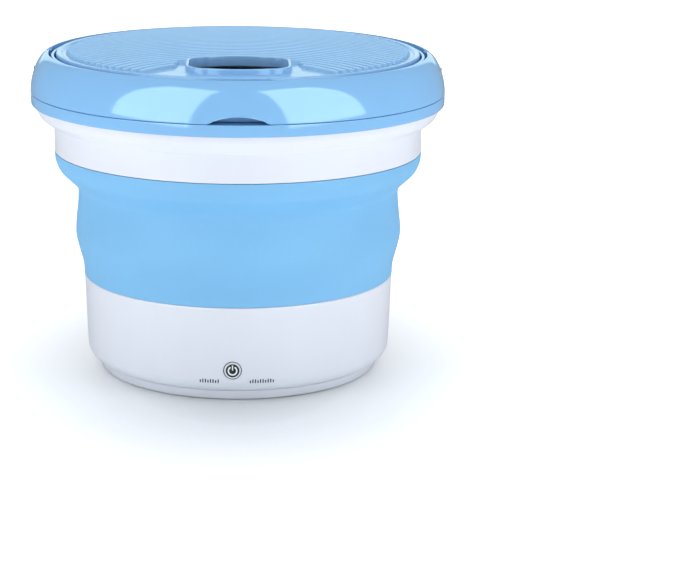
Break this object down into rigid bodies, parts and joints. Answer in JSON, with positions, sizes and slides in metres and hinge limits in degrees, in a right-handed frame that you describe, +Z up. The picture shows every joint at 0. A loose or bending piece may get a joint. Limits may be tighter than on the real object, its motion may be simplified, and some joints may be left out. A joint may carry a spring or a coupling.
{
  "type": "portable mini washer",
  "caption": "Folding tub washer: motor base with impeller, soft wall that folds flat, rim with swing-up carry handle, lift-off washboard lid.",
  "frame": {"origin": "centre of the foot circle, on the surface that the washer stands on", "axes": "+Z up along the tub's axis, -Y to the front (power button, grip hole, handle), +X to the right seen from the front"},
  "size_m": [0.261, 0.261, 0.2076],
  "materials": {
    "white_casing": "satin moulded plastic",
    "white_moulding": "moulded plastic inside the tub",
    "blue_plastic": "satin moulded plastic",
    "blue_silicone": "matte soft silicone",
    "rubber": "matte",
    "black_plastic": "satin",
    "circuit_board": "solder mask",
    "nylon": "natural nylon",
    "lens": "clear tinted",
    "steel": "turned and ground",
    "zinc": "die-cast",
    "wire_sleeve": "soft sleeve"
  },
  "bodies": {
    "base": {"base_shell": "white_casing", "bottom_cover": "white_casing", "rubber_foot_1": "rubber", "rubber_foot_2": "rubber", "rubber_foot_3": "rubber", "rubber_foot_4": "rubber", "cover_screw_1": "steel", "cover_screw_2": "steel", "cover_screw_3": "steel", "cover_screw_4": "steel", "tub_floor": "white_moulding", "folding_wall": "blue_silicone", "drain_strainer": "steel", "drain_neck": "nylon", "drain_elbow": "nylon", "power_socket": "black_plastic", "sterilizer_lens": "lens", "sterilizer_lamp": "black_plastic", "control_board": "circuit_board", "button_switch": "black_plastic", "driver_chip": "black_plastic", "function_led": "lens", "sterilizer_led": "lens", "lower_bearing": "steel", "bearing_spacer": "nylon", "upper_bearing": "steel", "shaft_seal": "rubber", "motor_bracket": "zinc", "motor_housing": "steel", "bracket_screw_1": "steel", "bracket_screw_2": "steel", "bracket_screw_3": "steel", "motor_plug": "nylon", "motor_lead": "wire_sleeve", "socket_lead": "wire_sleeve"},
    "drive": {"impeller": "white_moulding", "impeller_cap": "blue_plastic", "drive_shaft": "steel", "drive_gear": "nylon", "gear_nut": "steel"},
    "rotor": {"motor_pinion": "zinc", "motor_shaft": "steel"},
    "button": {"power_button": "white_casing"},
    "plug": {"drain_plug": "blue_silicone"},
    "rim": {"upper_collar": "white_casing", "rim_ring": "blue_plastic", "handle_pin_left": "steel", "handle_pin_right": "steel"},
    "handle": {"carry_handle": "blue_plastic"},
    "lid": {"lid_panel": "blue_plastic", "lid_seal": "blue_silicone"}
  },
  "joints": [
    {"name": "impeller_spin", "type": "hinge", "parent": "base", "child": "drive", "pos_m": [0, 0, 0.03], "axis": [0, 0, 1], "continuous": true},
    {"name": "motor_spin", "type": "hinge", "parent": "base", "child": "rotor", "pos_m": [0.036, 0, 0.03], "axis": [0, 0, 1], "continuous": true},
    {"name": "button_press", "type": "slide", "parent": "base", "child": "button", "axis": [0, 1, 0], "range_m": [0, 0.0012], "stiffness_N_per_m": 400},
    {"name": "plug_pull", "type": "slide", "parent": "base", "child": "plug", "axis": [0, 1, 0], "range_m": [0, 0.011]},
    {"name": "tub_fold", "type": "slide", "parent": "base", "child": "rim", "axis": [0, 0, -1], "range_m": [0, 0.13], "deforming": ["folding_wall"]},
    {"name": "handle_swing", "type": "hinge", "parent": "rim", "child": "handle", "pos_m": [0, 0, 0.1905], "axis": [-1, 0, 0], "range_deg": [0, 90]},
    {"name": "lid_lift", "type": "slide", "parent": "rim", "child": "lid", "axis": [0, 0, 1], "range_m": [0, 0.016]}
  ],
  "couplings": [
    {"joint": "motor_spin", "follows": "impeller_spin", "ratio": -5}
  ]
}
